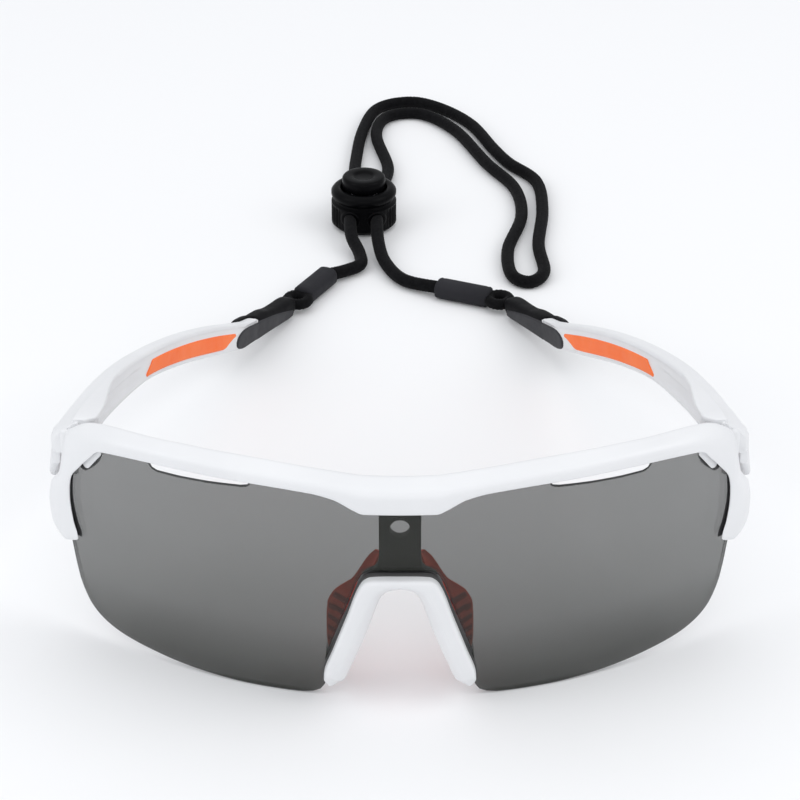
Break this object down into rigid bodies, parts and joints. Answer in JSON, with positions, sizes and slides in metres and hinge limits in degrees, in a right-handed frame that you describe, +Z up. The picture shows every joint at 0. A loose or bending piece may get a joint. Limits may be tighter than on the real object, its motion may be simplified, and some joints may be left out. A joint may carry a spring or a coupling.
{
  "type": "wraparound sport sunglasses",
  "caption": "Half-rim wraparound sport sunglasses with a one-piece tinted shield lens, folding temples, rubber nose and temple grips and a cord leash with a sprung lock.",
  "frame": {"origin": "centre of the glasses' footprint, without the leash, on the surface they rest on", "axes": "+Z up; the lens faces -Y and the temples run towards +Y; +X is the wearer's left"},
  "size_m": [0.144, 0.3117, 0.054],
  "materials": {
    "white_shell": "satin white moulded nylon",
    "mirror_lens": "dark grey tint with a weak silver mirror",
    "core_black": "matt charcoal plastic",
    "orange_rubber": "soft matt rubber",
    "steel": "plain steel",
    "socket_rubber": "matt dark grey rubber",
    "sleeve": "black ribbed sleeve",
    "cord": "braided black polyester",
    "lock_plastic": "black acetal"
  },
  "bodies": {
    "front": {"front_frame": "white_shell", "lens": "mirror_lens", "nose_core": "core_black", "nose_bridge": "white_shell", "nose_pad_left": "orange_rubber", "nose_pad_right": "orange_rubber", "hinge_pin_left": "steel", "hinge_pin_right": "steel", "tie_ring_left": "cord", "tie_ring_right": "cord", "crimp_left": "sleeve", "crimp_right": "sleeve", "leash_cord": "cord", "lock_body": "lock_plastic", "lock_spring": "steel"},
    "left_arm": {"temple_left": "white_shell", "grip_pad_left": "orange_rubber", "leash_socket_left": "socket_rubber"},
    "right_arm": {"temple_right": "white_shell", "grip_pad_right": "orange_rubber", "leash_socket_right": "socket_rubber"},
    "button": {"lock_button": "lock_plastic"}
  },
  "joints": [
    {"name": "fold_left", "type": "hinge", "parent": "front", "child": "left_arm", "pos_m": [0.0645, -0.05135, 0.0436], "axis": [0, 0, 1], "range_deg": [0, 78]},
    {"name": "fold_right", "type": "hinge", "parent": "front", "child": "right_arm", "pos_m": [-0.0645, -0.05135, 0.0436], "axis": [0, 0, -1], "range_deg": [0, 70]},
    {"name": "button_press", "type": "slide", "parent": "front", "child": "button", "axis": [0, 0, -1], "range_m": [0, 0.0016], "stiffness_N_per_m": 500, "springref_m": -0.002, "deforming": ["lock_spring"]}
  ]
}
